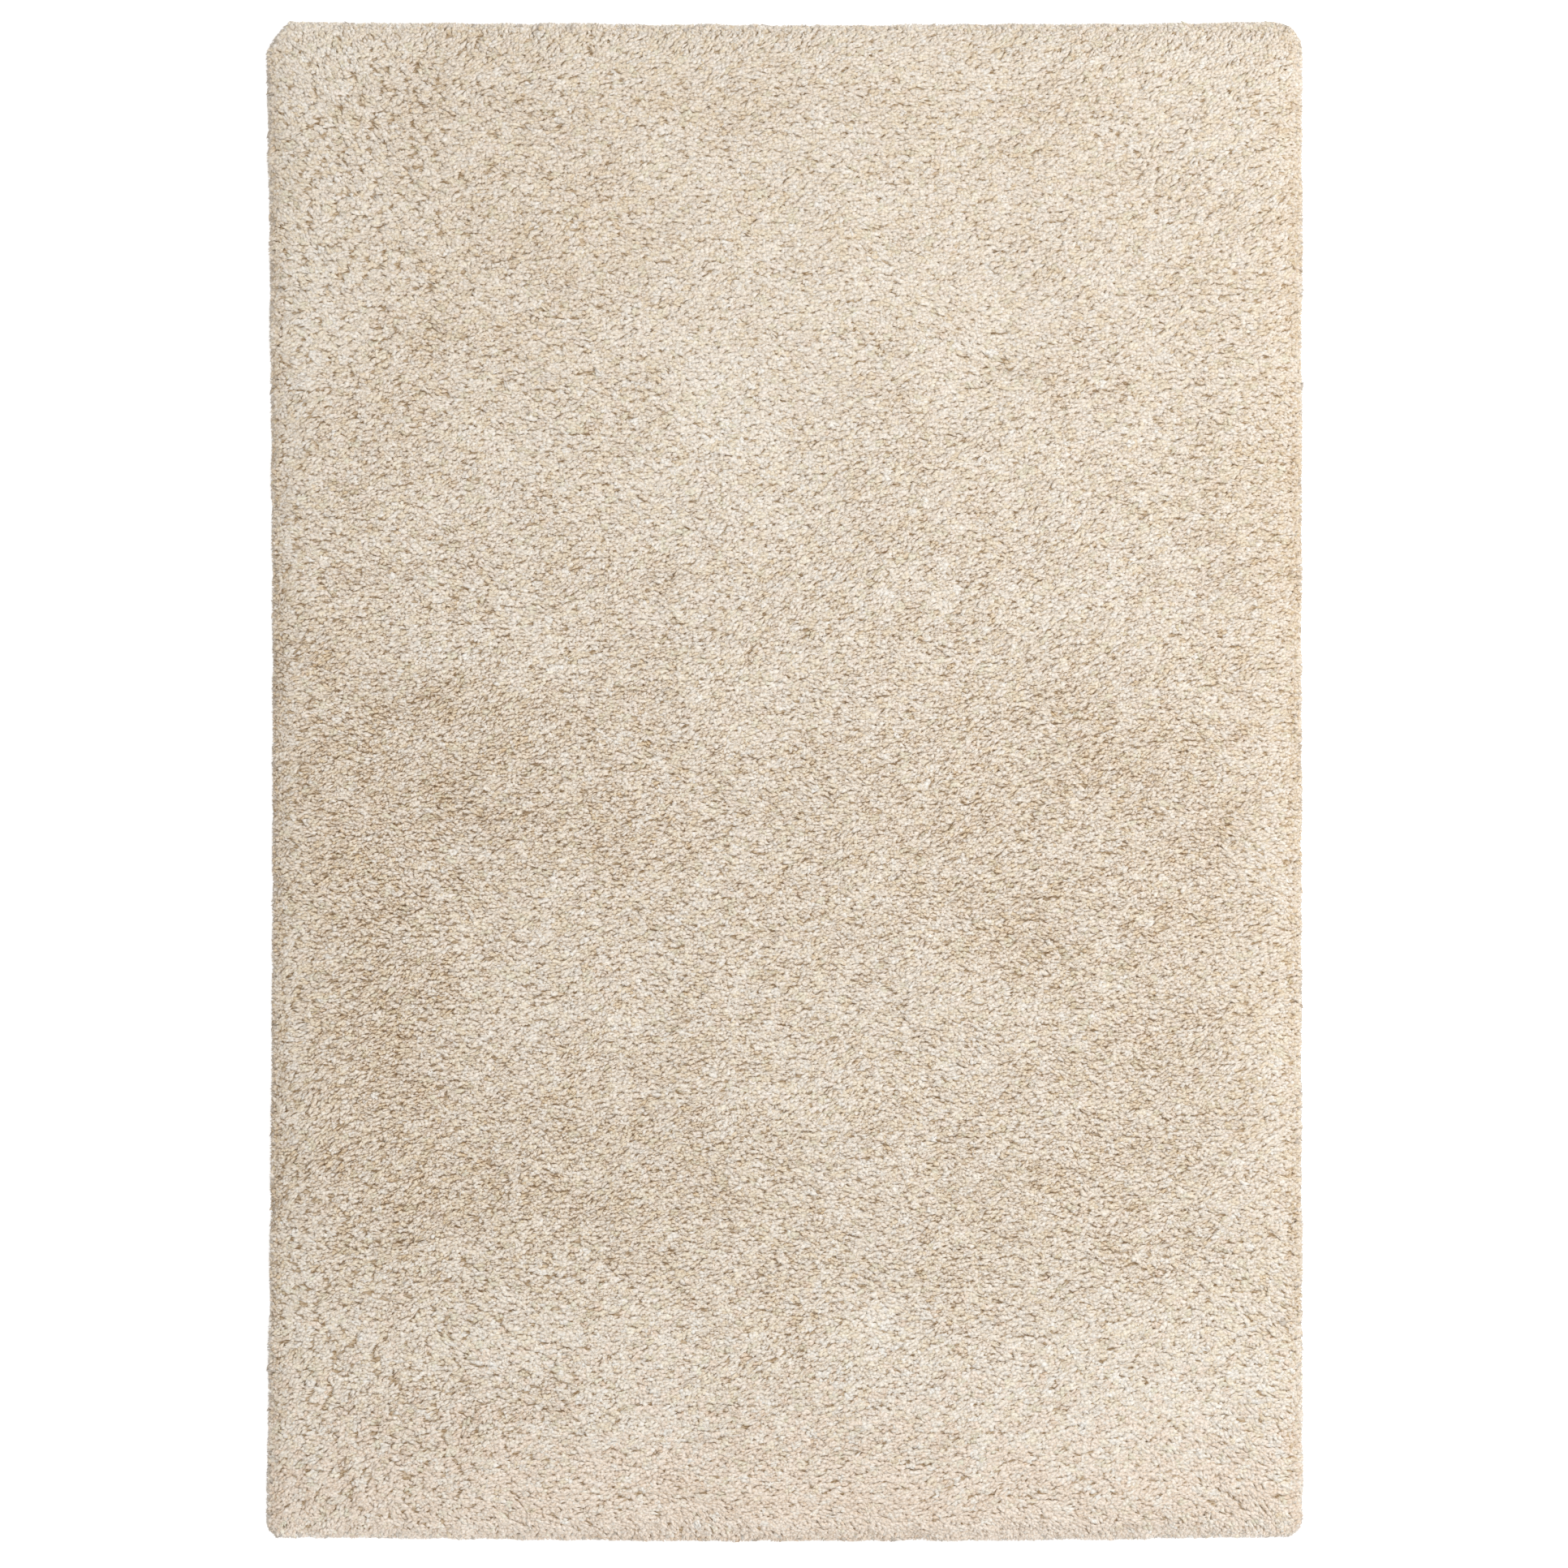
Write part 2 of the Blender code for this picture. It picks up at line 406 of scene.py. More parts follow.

# %% [markdown]
# A strand is painted darkest along its two edges, where it goes down between its neighbours and
# lies in their shade. How near to its edge a spot is follows from the second UV map too: the
# distance from the strand's middle line, divided by half of the strand's width there, which grows
# up to the shoulder and shrinks from there to the tip. Noise over the rug makes this painted shade
# deep in one place and shallow in the next, and pale strands, which stand up into the light, get
# shallower shade.

# %% The painted shade along a strand's edges
SHOULDER = 0.82  # how far along a strand it is broadest
PLAIN_TONE = 0.84  # the tone of most strands, up the chart
EDGE_SHADE_SWELLS_PER_METRE = 170.0  # how often deep painted shade follows shallow
EDGE_SHADE_DEPTH = 0.42  # added to the noise, in a strand of plain tone
EDGE_SHADE_FOLLOWS_TONE = 2.0  # how much shallower the painted shade is where the yarn is pale
# painted shade along a strand's edges, where its neighbours shade it
PAINTED_EDGE_SHADES = {0.74: (1.0, 1.0, 1.0), 1.02: (0.45, 0.335, 0.225)}
YARN_SHEEN = 0.12
YARN_SHEEN_ROUGHNESS = 0.5

parts = add_node(tree, "ShaderNodeSeparateXYZ", Vector=strand_map)
off_middle = add_math(tree, "ABSOLUTE", parts.outputs["X"])
along = add_math(tree, "FRACT", parts.outputs["Y"])
from_root = add_math(tree, "DIVIDE", along, SHOULDER)
from_tip = add_math(tree, "DIVIDE", add_math(tree, "SUBTRACT", 1.0, along), 1.0 - SHOULDER)
half_width = add_math(tree, "MINIMUM", from_root, from_tip)
to_edge = add_math(tree, "DIVIDE", off_middle, half_width)

place = add_node(tree, "ShaderNodeTexCoord").outputs["Object"]
swells = add_node(tree, "ShaderNodeTexNoise", Vector=place, Scale=EDGE_SHADE_SWELLS_PER_METRE)
deepest = EDGE_SHADE_FOLLOWS_TONE * PLAIN_TONE + EDGE_SHADE_DEPTH
paleness = add_math(tree, "MULTIPLY", spot.outputs["Y"], EDGE_SHADE_FOLLOWS_TONE)
depth = add_math(tree, "SUBTRACT", add_math(tree, "ADD", swells.outputs["Fac"], deepest), paleness)
edge_shade = add_ramp(tree, add_math(tree, "MULTIPLY", to_edge, depth), PAINTED_EDGE_SHADES)

colour = multiply(tree, multiply(tree, tone, tint), multiply(tree, fibre_shade, edge_shade))
tree.links.new(colour, shader.inputs["Base Color"])
shader.inputs["Sheen Weight"].default_value = YARN_SHEEN
shader.inputs["Sheen Roughness"].default_value = YARN_SHEEN_ROUGHNESS
print("nodes in the yarn:", len(tree.nodes))

# %% [markdown]
# ## The ground cloth
#
# Under the pile lies the cloth that the yarns are tufted through. Only its underside can ever be
# seen. It is a sheet in the rug's outline, a little smaller, because the yarns at the rim hang
# over its edge. It lies flat on the floor and has its real thickness.

# %% Helpers for pieces
def finish_piece(name, mesh, material):
    """Makes an object of a bmesh, whose faces are turned outwards, or of a finished mesh, and adds
    it to the rug."""
    if isinstance(mesh, bmesh.types.BMesh):
        bmesh.ops.recalc_face_normals(mesh, faces=mesh.faces)
        data = bpy.data.meshes.new(name)
        mesh.to_mesh(data)
        mesh.free()
    else:
        data = mesh
    data.materials.append(material)
    piece = bpy.data.objects.new(name, data)
    bpy.context.scene.collection.objects.link(piece)
    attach(piece, "root")
    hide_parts("shag_rug")
    return piece


def close_foot(mesh):
    """Closes an open mesh with one face across its edge."""
    foot = [edge for edge in mesh.edges if edge.is_boundary]
    bmesh.ops.contextual_create(mesh, geom=foot)


# %% Shape the ground cloth
CLOTH_INSET = 0.009
CLOTH_CELL = 0.030
CLOTH_THICKNESS = 0.0016

sheet, _ = outline_sheet(CLOTH_INSET, CLOTH_CELL)
for vertex in sheet.verts:
    vertex.co.z = CLOTH_THICKNESS
cloth_area = sum(face.calc_area() for face in sheet.faces)
for vertex in pull_edge(sheet):
    vertex.co.z = 0.0
close_foot(sheet)

# %% [markdown]
# Its canvas is a coarse plain weave of natural thread. Two wave textures at right angles, one for
# each set of threads, make the weave, and whichever thread stands higher shows. Such thread is
# uneven, so noise that is drawn out along each thread thickens it and thins it.

# %% Weave the canvas
THREAD_PITCH = 0.0045
THREAD_RELIEF = 0.0008
THREAD_RELIEF_STRENGTH = 0.8
SLUBS_PER_METRE = (1 / THREAD_PITCH, 6.0)  # across and along a thread
SLUB_DETAIL = 3.0
SLUB_SPREAD = 2.0  # how much a thread's thickness follows the noise
SLUB_LEAST = -0.2  # its thickness where the noise is 0
CANVAS_SHADES = {0.2: (0.30, 0.235, 0.155), 0.6: (0.55, 0.47, 0.35), 1.0: (0.74, 0.67, 0.55)}
FULL_TURN = 2 * math.pi
WAVE_PERIOD = 20.0  # a wave texture at scale 1 has this many periods to a turn

canvas, tree, shader = new_material("ground cloth canvas", roughness=0.95)
place = add_node(tree, "ShaderNodeTexCoord").outputs["Object"]
wave_scale = FULL_TURN / WAVE_PERIOD / THREAD_PITCH
threads = []
for direction, slub_scale in (("X", SLUBS_PER_METRE), ("Y", SLUBS_PER_METRE[::-1])):
    wave = add_node(
        tree, "ShaderNodeTexWave", {"bands_direction": direction}, Vector=place, Scale=wave_scale
    )
    drawn_out = add_node(tree, "ShaderNodeMapping", Vector=place, Scale=(*slub_scale, 0.0))
    slubs = add_node(
        tree,
        "ShaderNodeTexNoise",
        Vector=drawn_out.outputs["Vector"],
        Scale=1.0,
        Detail=SLUB_DETAIL,
    )
    thickness = add_math(tree, "MULTIPLY_ADD", slubs.outputs["Fac"], SLUB_SPREAD, SLUB_LEAST)
    threads.append(add_math(tree, "MULTIPLY", wave.outputs["Fac"], thickness))
weave = add_math(tree, "MAXIMUM", *threads)
tree.links.new(add_ramp(tree, weave, CANVAS_SHADES), shader.inputs["Base Color"])
add_relief(tree, shader, weave, THREAD_RELIEF, THREAD_RELIEF_STRENGTH)

ground_cloth = finish_piece("ground_cloth", sheet, canvas)
print("threads to a metre:", round(1 / THREAD_PITCH))

# %% [markdown]
# ## The bed of the pile
#
# A few millimetres down, the yarns stand so close that nothing shows between them but more yarn,
# in shade. Modelling all of it would take millions of strands that nobody sees. One closed body
# stands for it: the slab's top, a little lower than the strands' tips. Its outer rings follow the
# pile down over its rounded edge, and its side ends on the ground cloth.

# %% Shape the bed
BED_CELL = 0.016
BED_RINGS = (0.030, 0.024, 0.018, 0.013, 0.010)  # distances inside the outline
BED_BELOW_TOP = 0.0055
BED_RIM_HEIGHT = 0.0030

bed, layer = outline_sheet(BED_RINGS[0], BED_CELL)
for inset in BED_RINGS[1:]:
    put_in_outline(pull_edge(bed), layer, inset)
bed_places = np.array([vertex.co.xy for vertex in bed.verts])
for vertex, height in zip(bed.verts, pile_top(bed_places)):
    vertex.co.z = max(height - BED_BELOW_TOP, BED_RIM_HEIGHT)
for vertex in pull_edge(bed):
    vertex.co.z = CLOTH_THICKNESS
close_foot(bed)
print("pile bed:", len(bed.faces), "faces")

# %% [markdown]
# Its colour is painted shade: where the bed shows in a parting it is streaked like yarn in shade.
# The streaks are noise that is stretched along X, which is roughly the way the pile leans.

# %% Streak the bed
STREAKS_PER_METRE = 480.0
STREAK_STRETCH = (0.35, 1.0, 1.0)  # streaks are longest along the lean
BED_SHADES = {0.36: (0.30, 0.20, 0.11), 0.50: (0.54, 0.41, 0.27), 0.62: (0.72, 0.60, 0.46)}
BED_RELIEF = 0.003
BED_RELIEF_STRENGTH = 0.8

packed_yarn, tree, shader = new_material("packed yarn", roughness=1.0)
place = add_node(tree, "ShaderNodeTexCoord").outputs["Object"]
stretched = add_node(tree, "ShaderNodeMapping", Vector=place, Scale=STREAK_STRETCH)
streaks = add_node(
    tree, "ShaderNodeTexNoise", Vector=stretched.outputs["Vector"], Scale=STREAKS_PER_METRE
).outputs["Fac"]
tree.links.new(add_ramp(tree, streaks, BED_SHADES), shader.inputs["Base Color"])
add_relief(tree, shader, streaks, BED_RELIEF, BED_RELIEF_STRENGTH)

pile_bed = finish_piece("pile_bed", bed, packed_yarn)
print("streaks to a metre:", STREAKS_PER_METRE)

# %% [markdown]
# ## One strand
#
# A strand is a soft bundle of fibres, thin at its root and broadest near its tip. There will be
# more than two hundred thousand, so its form is the simplest closed one, with four faces: a
# three-sided cone with its point at the root. Of the three corners of its open end one is drawn
# forward and becomes the tip, and the other two are the strand's shoulders. From above it is a
# slim kite, and the smooth shading makes it round.

# %% Model the strand's form
BACK = 0.70  # how far its shoulders stand over its tip, as a share of half its width
WELD = 1e-5

form = bmesh.new()
bmesh.ops.create_cone(
    form, segments=3, radius1=0.0, radius2=1.0, depth=SHOULDER, cap_ends=True, cap_tris=False
)
bmesh.ops.remove_doubles(form, verts=form.verts, dist=WELD)
bmesh.ops.translate(form, verts=form.verts, vec=(0.0, 0.0, SHOULDER / 2))
end_corners = [vertex for vertex in form.verts if vertex.co.z > SHOULDER / 2]
tip_corner, *shoulders = sorted(end_corners, key=lambda vertex: abs(vertex.co.x))
tip_corner.co = (0.0, -BACK, 1.0)
for shoulder in shoulders:
    shoulder.co = (math.copysign(1.0, shoulder.co.x), 0.0, SHOULDER)
bmesh.ops.triangulate(form, faces=form.faces)
bmesh.ops.recalc_face_normals(form, faces=form.faces)
form.verts.index_update()
form_points = np.array([vertex.co for vertex in form.verts])
form_faces = np.array([[vertex.index for vertex in face.verts] for face in form.faces])
form.free()
print("strand form:", len(form_points), "corners,", len(form_faces), "faces")

# %% [markdown]
# ## Laying strands
#
# Each strand follows a curve with three points: its root in the ground cloth, a bend over the
# root, and its tip. The form's height becomes the place along that curve, and its width lies
# across it. An Array modifier or Geometry Nodes would copy a strand too, but here every copy
# bends in its own way, so the copies are worked out together as arrays and written into one mesh.

# %% Bend the form along curves
FLOOR_CLEARANCE = 0.0003


def unit(vectors):
    """The vectors with a length of 1."""
    return vectors / np.linalg.norm(vectors, axis=-1, keepdims=True)


def strand_points(strands):
    """The corners of each strand, laid along its curve."""
    root, bend, tip = (strands[key][:, None, :] for key in ("root", "bend", "tip"))
    along = form_points[None, :, 2:3]
    middle = root * (1 - along) ** 2 + bend * 2 * along * (1 - along) + tip * along**2
    heading = unit((bend - root) * (1 - along) + (tip - bend) * along)
    across = unit(np.cross([0.0, 0.0, 1.0], heading))
    upward = np.cross(heading, across)

    turn = strands["roll"][:, None]
    side = form_points[None, :, 0] * np.cos(turn) - form_points[None, :, 1] * np.sin(turn)
    rise = form_points[None, :, 0] * np.sin(turn) + form_points[None, :, 1] * np.cos(turn)
    width = strands["width"][:, None]
    points = middle + (side * width)[..., None] * across + (rise * width)[..., None] * upward
    points[..., 2] = np.maximum(points[..., 2], FLOOR_CLEARANCE)
    return points


# %% [markdown]
# Each corner also gets its place on both UV maps. On the chart, a strand's root is painted brown,
# as the shade deep in the pile, and the rest has the strand's own tone. On the strand map, a whole
# number that differs from strand to strand is added to the share along, so that no two neighbours
# have the same fibres, and the share across is a little less where the painted shade along the
# edges should be faint.

# %% Write strands into one mesh
CHART_WIDTH = 0.012  # half width of a strand's spot on the chart
# painted shade: the tone of a strand's root, deep in the pile
ROOT_SHADE_TONE = 0.10
STRAND_NUMBERS = 97
STRAND_ENDS = (0.001, 0.998)  # where a strand starts after its whole number, and its length there


def strand_maps(strands):
    """The places across and up each UV map, for each corner of each strand."""
    at_root = form_points[None, :, 2] < SHOULDER / 2
    chart_up = np.where(at_root, ROOT_SHADE_TONE, strands["tone"][:, None])
    chart_across = strands["tint"][:, None] + CHART_WIDTH * form_points[None, :, 0]
    number = np.arange(len(strands["tip"]))[:, None] % STRAND_NUMBERS
    strand_along = number + STRAND_ENDS[0] + STRAND_ENDS[1] * form_points[None, :, 2]
    # the painted shade along a strand's edges grows with the share across
    strand_across = strands["edge_shade"][:, None] * form_points[None, :, 0]
    return {CHART: (chart_across, np.clip(chart_up, 0, 1)), STRAND: (strand_across, strand_along)}


def strand_mesh(name, strands):
    """One mesh of many strands. strands holds arrays with a row for each strand: root, bend, tip,
    width, crease, roll, tint and tone."""
    points = strand_points(strands)
    count, corners = len(points), len(form_points)
    faces = (form_faces[None] + (np.arange(count) * corners)[:, None, None]).ravel()
    data = bpy.data.meshes.new(name)
    data.vertices.add(count * corners)
    data.vertices.foreach_set("co", points.astype(np.float32).ravel())
    data.loops.add(len(faces))
    data.loops.foreach_set("vertex_index", faces.astype(np.int32))
    data.polygons.add(len(faces) // 3)
    data.polygons.foreach_set("loop_start", np.arange(0, len(faces), 3, dtype=np.int32))
    data.update(calc_edges=True)
    data.shade_smooth()
    for map_name, map_axes in strand_maps(strands).items():
        spots = np.stack(np.broadcast_arrays(*map_axes), -1).reshape(-1, 2)[faces]
        layer = data.uv_layers.new(name=map_name)
        layer.uv.foreach_set("vector", spots.astype(np.float32).ravel())
    return data


# %% [markdown]
# ## Which way the pile leans
#
# Walking on a rug and rolling it up leave the pile leaning. On this one most strands lean to the
# right and a little up the picture. Near each edge they lean more and more outwards over it, and
# many of those near a corner lean towards it. Where the way out and the brushed lean are alike
# they blend. Where they are opposed, as on the left, a blend would part the pile along a line, so
# there each lock takes one or the other by chance. Slow noise turns them all a little, so that
# neighbours agree and the surface looks brushed.

# %% Helpers for chance
RUG_SEED = 5

chance = np.random.default_rng(RUG_SEED)


def varied(shape, spread, most=2.5):
    """Random numbers round 0 with this spread, none further off than so many times it."""
    return spread * np.clip(chance.standard_normal(shape), -most, most)


def slow_noise(places, apart, layer):
    """Smooth noise from about -1 to 1 at an array of places, with swells this far apart."""
    return np.array([noise.noise(Vector((*spot, layer))) for spot in places / apart])


# %% The lean of the pile
LEAN_AZIMUTH = math.radians(9)
RIM_REACH = 0.075  # how far from the edge the first locks lean outwards
OPPOSED = -0.35  # cosine of the angle past which the two directions don't blend
CORNER_SLOPE = math.radians(29)  # strands that lean to a corner are this steep
CORNER_SHARE = 1.3  # how many of them there are at the corner itself
CORNER_FADE = 3  # how soon they grow fewer away from it
SWIRLS = (
    {"apart": 0.30, "turn": math.radians(18)},
    {"apart": 0.085, "turn": math.radians(22)},
)
SWIRL_LAYER = 10.5  # where in the noise the swirls are read


def lean_azimuth(places):
    """The azimuth in which each lock at an array of places leans."""
    inside, outward = from_outline(places)
    share = np.clip(np.sqrt(inside / RIM_REACH), 0, 1)[:, None]
    brushed = (math.cos(LEAN_AZIMUTH), math.sin(LEAN_AZIMUTH))
    to_corner = (math.cos(CORNER_SLOPE), math.sin(CORNER_SLOPE)) * np.sign(places)
    near_corner = np.abs(places / half_size).prod(1, keepdims=True)
    in_corner = CORNER_SHARE * near_corner**CORNER_FADE
    brushed = np.where(chance.random(in_corner.shape) < in_corner, to_corner, brushed)
    opposed = (outward * brushed).sum(1, keepdims=True) < OPPOSED
    share = np.where(opposed, chance.random(share.shape) < share, share)
    heading = brushed * share + outward * (1 - share)
    azimuth = np.arctan2(heading[:, 1], heading[:, 0])
    for layer, swirl in enumerate(SWIRLS):
        azimuth = azimuth + swirl["turn"] * slow_noise(places, swirl["apart"], SWIRL_LAYER + layer)
    return azimuth


print("lean in the middle:", lean_azimuth(np.zeros((1, 2))).round(2).tolist())

# %% [markdown]
# ## Light and dark patches
#
# Seen from above the rug isn't evenly pale. Where the pile leans towards the lamp it catches more
# light, and where it leans away, or has been pressed, it lies more in shade. That light and shade
# is painted into the strands' tone, as patches a hand or a foot wide that fade into each other. A
# short table names the ones that show, and slow noise adds the faint rest. Along the left and right
# rims the yarn turns away from the light, so two long thin patches of painted shade are browner.
#
# Two smaller tables are of the same kind. The strands stand out from each other more in one part
# of the rug than in another, and near one edge the yarn has a blush.

# %% The patches
# Each patch of painted light and shade by its middle, its half width and half length in metres, and
# how much paler (above 0) or browner (below 0) its middle is
PATCHES = (
    {"x": -0.484, "y": 0.877, "wide": 0.075, "long": 0.050, "tone": -0.05},
    {"x": -0.600, "y": 0.890, "wide": 0.130, "long": 0.110, "tone": 0.03},
    {"x": -0.235, "y": 0.752, "wide": 0.050, "long": 0.200, "tone": -0.03},
    {"x": -0.540, "y": 0.429, "wide": 0.080, "long": 0.070, "tone": -0.04},
    {"x": -0.600, "y": 0.200, "wide": 0.050, "long": 0.060, "tone": -0.06},
    {"x": -0.432, "y": 0.101, "wide": 0.120, "long": 0.035, "tone": -0.05},
    {"x": -0.400, "y": -0.020, "wide": 0.200, "long": 0.090, "tone": -0.04},
    {"x": -0.590, "y": -0.100, "wide": 0.070, "long": 0.330, "tone": -0.05},
    {"x": -0.490, "y": -0.330, "wide": 0.080, "long": 0.170, "tone": -0.07},
    {"x": -0.656, "y": 0.000, "wide": 0.010, "long": 1.500, "tone": -0.09},
    {"x": 0.660, "y": 0.000, "wide": 0.014, "long": 1.500, "tone": -0.06},
    {"x": 0.000, "y": -0.965, "wide": 1.500, "long": 0.020, "tone": 0.08},
    {"x": -0.050, "y": -0.974, "wide": 0.400, "long": 0.004, "tone": -0.16},
    {"x": -0.256, "y": -0.528, "wide": 0.290, "long": 0.115, "tone": -0.05},
    {"x": 0.300, "y": -0.200, "wide": 0.080, "long": 0.070, "tone": -0.07},
    {"x": 0.534, "y": -0.100, "wide": 0.120, "long": 0.200, "tone": -0.05},
    {"x": 0.460, "y": -0.380, "wide": 0.120, "long": 0.120, "tone": -0.05},
    {"x": 0.191, "y": 0.861, "wide": 0.380, "long": 0.022, "tone": -0.03},
    {"x": 0.100, "y": 0.000, "wide": 0.600, "long": 0.160, "tone": -0.03},
    {"x": -0.600, "y": 0.640, "wide": 0.060, "long": 0.150, "tone": 0.04},
    {"x": -0.360, "y": 0.400, "wide": 0.090, "long": 0.110, "tone": 0.03},
    {"x": -0.069, "y": 0.533, "wide": 0.120, "long": 0.170, "tone": 0.03},
    {"x": 0.240, "y": 0.480, "wide": 0.090, "long": 0.200, "tone": 0.04},
    {"x": 0.330, "y": 0.620, "wide": 0.160, "long": 0.080, "tone": 0.03},
    {"x": -0.360, "y": -0.720, "wide": 0.180, "long": 0.055, "tone": 0.05},
    {"x": 0.118, "y": -0.695, "wide": 0.060, "long": 0.045, "tone": 0.06},
    {"x": 0.540, "y": -0.760, "wide": 0.110, "long": 0.110, "tone": 0.06},
    {"x": 0.000, "y": -0.900, "wide": 1.500, "long": 0.150, "tone": 0.05},
    {"x": 0.000, "y": 0.780, "wide": 1.500, "long": 0.360, "tone": -0.03},
    {"x": 0.620, "y": 0.330, "wide": 0.090, "long": 0.230, "tone": -0.04},
    {"x": -0.200, "y": 0.480, "wide": 0.060, "long": 0.060, "tone": -0.04},
    {"x": -0.200, "y": -0.070, "wide": 0.060, "long": 0.060, "tone": -0.04},
    {"x": -0.240, "y": 0.150, "wide": 0.070, "long": 0.060, "tone": 0.03},
)
MOTTLES = ({"apart": 0.20, "tone": 0.035}, {"apart": 0.05, "tone": 0.03})
MOTTLE_LAYER = 20.5  # where in the noise the mottles are read
# Where the strands stand out from each other more (above 0) or less (below 0) than elsewhere
CRISPNESS = (
    {"x": 0.000, "y": 0.780, "wide": 1.500, "long": 0.360, "more": -0.17},
    {"x": -0.500, "y": -0.100, "wide": 0.300, "long": 0.500, "more": 0.04},
    {"x": 0.620, "y": 0.000, "wide": 0.150, "long": 0.600, "more": -0.05},
    {"x": 0.600, "y": -0.920, "wide": 0.220, "long": 0.160, "more": -0.16},
)
# Along the near edge most of the locks have a blush
BLUSHES = ({"x": 0.000, "y": -0.990, "wide": 1.500, "long": 0.170, "share": 0.95},)


def blended(places, patches, key):
    """The sum at an array of places of patches that fade outwards."""
    total = np.zeros(len(places))
    for patch in patches:
        off = (places - (patch["x"], patch["y"])) / (patch["wide"], patch["long"])
        total += patch[key] * np.exp(-(off**2).sum(1))
    return total


def patch_tone(places):
    """How much paler or browner the pile is at an array of places."""
    tone = blended(places, PATCHES, "tone")
    for layer, mottle in enumerate(MOTTLES):
        tone += mottle["tone"] * slow_noise(places, mottle["apart"], MOTTLE_LAYER + layer)
    return tone


print("patches:", len(PATCHES), "by hand and", len(MOTTLES), "of noise")

# %% [markdown]
# ## Locks of strands
#
# Yarns don't lie one by one. Each tuft opens into a head of a few strands that lean together, and
# between two heads there is a small parting. The strands of a lock share one tint. At the very rim
# some locks get the grey tint as painted shade, and most of those are on the left, the side away
# from the lamp.

# %% Choose each lock's tint
RIM_SHADE_REACH = 0.0028  # how fast the painted shade thins out from the rim inwards
RIM_SHADE_AT_RIM = 0.18  # share of locks in painted shade at the very rim
RIM_SHADE_ON_LEFT = 0.64  # how much more of them there is at the left rim


def lock_tints(heads):
    """The tint of each lock, as a place across the chart."""
    tints = chance.choice(tint_places, len(heads), p=tint_shares)
    has_blush = chance.random(len(heads)) < blended(heads, BLUSHES, "share")
    tints[has_blush] = tint_places[tint_names.index("blush")]
    inside, outward = from_outline(heads)
    # painted shade at the rim, most of it on the left, away from the lamp
    rim_shade_chance = RIM_SHADE_AT_RIM + RIM_SHADE_ON_LEFT * np.maximum(-outward[:, 0], 0)
    in_rim_shade = chance.random(len(heads)) < rim_shade_chance * np.exp(-np.maximum(inside, 0) / RIM_SHADE_REACH)
    tints[in_rim_shade] = tint_places[tint_names.index("shaded_rim")]
    return tints


# %% [markdown]
# The strands' tips are spread over each head like seeds in a sunflower: each one is turned from
# the last by the same angle, which never comes round to where it started, and lies further out.
# The head is drawn out along the lean.

# %% Spread the tips over a head
GOLDEN_TURN = math.pi * (3 - math.sqrt(5))
SEEDS_VARY = 0.15
HEAD_STRETCH = (1.3, 0.8)  # how long and how broad a head is along the lean


def spread_tips(radius, strands):
    """How far off the middle of its head each strand's tip is: as a share of the head's radius,
    and in metres forward along the lean and sideways."""
    turn = np.arange(strands) * GOLDEN_TURN + chance.uniform(0, FULL_TURN, (len(radius), 1))
    off = np.sqrt((np.arange(strands) + 0.5) / strands)
    off = off * (1 + varied((len(radius), strands), SEEDS_VARY))
    forward = HEAD_STRETCH[0] * radius[:, None] * off * np.cos(turn)
    sideways = HEAD_STRETCH[1] * radius[:, None] * off * np.sin(turn)
    return off, forward, sideways


# %% [markdown]
# A tip lies a little under the pile's top, and lowest at the rim of its head. The bend is put so
# high that half way along, the strand has already risen to three quarters of the pile's height.

# %% Set the strands' heights
TIP_SINK = 0.0018  # how far a tip's middle lies under the pile's top
HEAD_CROWN = 0.0010  # how much lower the tips are at the rim of a head
LIFTS_VARY = 0.0006  # from lock to lock, and from strand to strand
LEAST_TIP_HEIGHT = 0.0008
HALF_WAY_UP = 0.75  # height of a strand's middle, as a share of the pile's


def set_heights(tip, half_way, off, lift, droop):
    """The heights of the strands' tips and bends."""
    tip_height = pile_top(tip) - TIP_SINK - HEAD_CROWN * off**2
    tip_height += lift + varied(len(tip), LIFTS_VARY)
    tip_height = np.maximum(tip_height - droop, LEAST_TIP_HEIGHT)
    bend_height = 2 * HALF_WAY_UP * (pile_top(half_way) - TIP_SINK) - tip_height / 2 - droop
    return tip_height, bend_height


# %% [markdown]
# The roots lie back against the lean, in the ground cloth and closer together than the tips. Where
# a root would come out past the cloth's edge, it is moved in. The locks of a browner patch are a
# little smaller, so that more of the shade between them shows.

# %% A function that makes locks
OPENS_UP = 0.7  # how much a lock shrinks from its neighbours in a browner patch
SPLAY = math.radians(13)
ROOT_SPREAD = 0.3  # of the roots, as a share of the tips'
ROOT_INSET = CLOTH_INSET + 0.001
BEND_RUN = 0.30  # how far towards the tip the bend is
WIDTHS_VARY = 0.14
ROLLS_VARY = 0.35
LOCK_TONES_VARY = 0.035
STRAND_TONES_VARY = 0.045


